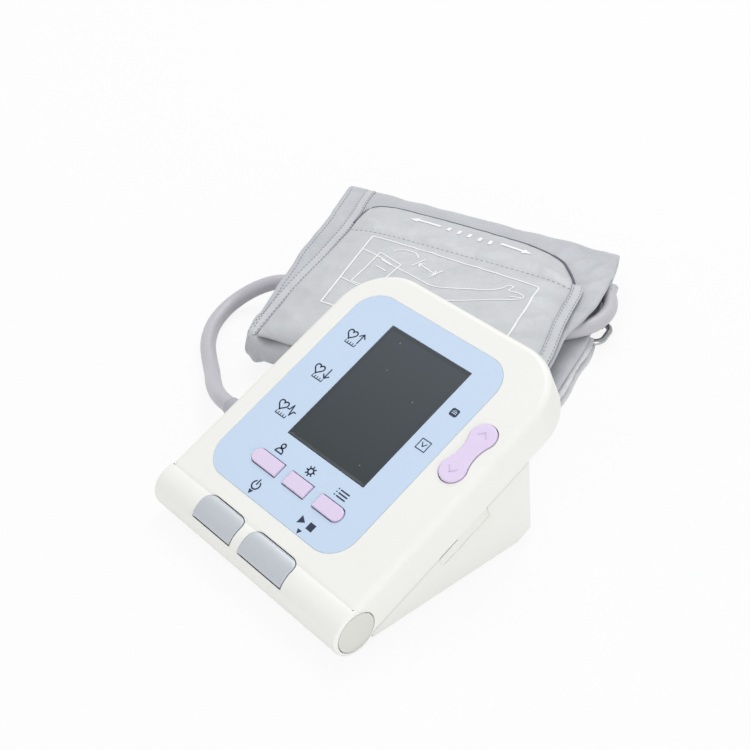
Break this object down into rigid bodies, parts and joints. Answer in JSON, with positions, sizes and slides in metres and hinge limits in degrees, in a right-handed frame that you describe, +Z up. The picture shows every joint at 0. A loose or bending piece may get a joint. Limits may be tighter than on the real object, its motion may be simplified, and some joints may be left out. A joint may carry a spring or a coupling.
{
  "type": "upper-arm blood pressure monitor",
  "caption": "Desktop upper-arm blood pressure monitor: wedge case with a sloping panel, display, keys and front roll, and a folded wrap cuff on an air hose.",
  "frame": {"origin": "on the table under the middle of the case", "axes": "+X to the user's right along the front roll, +Y to the back, up the slope of the panel, +Z up from the table"},
  "size_m": [0.2548, 0.2799, 0.0709],
  "materials": {
    "case_white": "satin",
    "housing_white": "satin",
    "plug_grey": "satin",
    "overlay_blue": "satin",
    "window_dark": "gloss",
    "display_glass": "gloss",
    "holder_white": "satin",
    "contact_rubber": "matte",
    "key_pink": "satin",
    "rocker_lilac": "satin",
    "button_silver": "satin",
    "board_green": "satin",
    "chip_black": "matte",
    "motor_steel": "satin",
    "pump_white": "satin",
    "valve_grey": "satin",
    "tube_clear": "satin",
    "port_black": "satin",
    "cell_grey": "satin",
    "contact_metal": "satin",
    "screw_steel": "satin",
    "foot_rubber": "matte",
    "hose_plug_grey": "satin",
    "hose_grey": "satin",
    "cuff_cloth": "matte",
    "tape_cloth": "matte",
    "bladder_rubber": "matte",
    "ring_metal": "gloss",
    "patch_cloth": "matte"
  },
  "bodies": {
    "case": {"front_cover": "case_white", "rear_housing": "housing_white", "left_roll_plug": "plug_grey", "right_roll_plug": "plug_grey", "panel_overlay": "overlay_blue", "display_window": "window_dark", "display_glass": "display_glass", "display_holder": "holder_white", "contact_strips": "contact_rubber", "main_board": "board_green", "board_chips": "chip_black", "key_switches": "chip_black", "buzzer": "chip_black", "pressure_sensor": "chip_black", "board_screws": "screw_steel", "button_board": "board_green", "button_switches": "chip_black", "pump_motor": "motor_steel", "pump_head": "pump_white", "release_valve": "valve_grey", "air_manifold": "pump_white", "air_tubes": "tube_clear", "air_socket": "plug_grey", "side_port": "port_black", "battery_cells": "cell_grey", "battery_contacts": "contact_metal", "case_screws": "screw_steel", "rubber_feet": "foot_rubber", "hose_plug": "hose_plug_grey", "air_hose": "hose_grey", "cuff_band": "cuff_cloth", "cuff_pocket": "cuff_cloth", "cuff_tapes": "tape_cloth", "cuff_bladder": "bladder_rubber", "bladder_port": "hose_plug_grey", "cuff_ring": "ring_metal", "loop_patch": "patch_cloth", "hook_patch": "patch_cloth"},
    "left_key_body": {"left_key": "key_pink"},
    "middle_key_body": {"middle_key": "key_pink"},
    "right_key_body": {"right_key": "key_pink"},
    "rocker_key_body": {"rocker_key": "rocker_lilac"},
    "power_button_body": {"power_button": "button_silver"},
    "start_button_body": {"start_button": "button_silver"},
    "battery_door_body": {"battery_door": "housing_white"}
  },
  "joints": [
    {"name": "left_key_press", "type": "slide", "parent": "case", "child": "left_key_body", "axis": [0, 0.4195, -0.9078], "range_m": [0, 0.0006], "stiffness_N_per_m": 700, "springref_m": -0.0006},
    {"name": "middle_key_press", "type": "slide", "parent": "case", "child": "middle_key_body", "axis": [0, 0.4195, -0.9078], "range_m": [0, 0.0006], "stiffness_N_per_m": 700, "springref_m": -0.0006},
    {"name": "right_key_press", "type": "slide", "parent": "case", "child": "right_key_body", "axis": [0, 0.4195, -0.9078], "range_m": [0, 0.0006], "stiffness_N_per_m": 700, "springref_m": -0.0006},
    {"name": "rocker_tilt", "type": "hinge", "parent": "case", "child": "rocker_key_body", "pos_m": [0.045, 0.01617, 0.04814], "axis": [1, 0, 0], "range_deg": [-3.5, 3.5], "stiffness_Nm_per_rad": 0.15},
    {"name": "power_button_press", "type": "slide", "parent": "case", "child": "power_button_body", "axis": [0, 0.5, -0.866], "range_m": [0, 0.0007], "stiffness_N_per_m": 700, "springref_m": -0.0006},
    {"name": "start_button_press", "type": "slide", "parent": "case", "child": "start_button_body", "axis": [0, 0.5, -0.866], "range_m": [0, 0.0007], "stiffness_N_per_m": 700, "springref_m": -0.0006},
    {"name": "battery_door_slide", "type": "slide", "parent": "case", "child": "battery_door_body", "axis": [0, 1, 0], "range_m": [0, 0.006]}
  ]
}
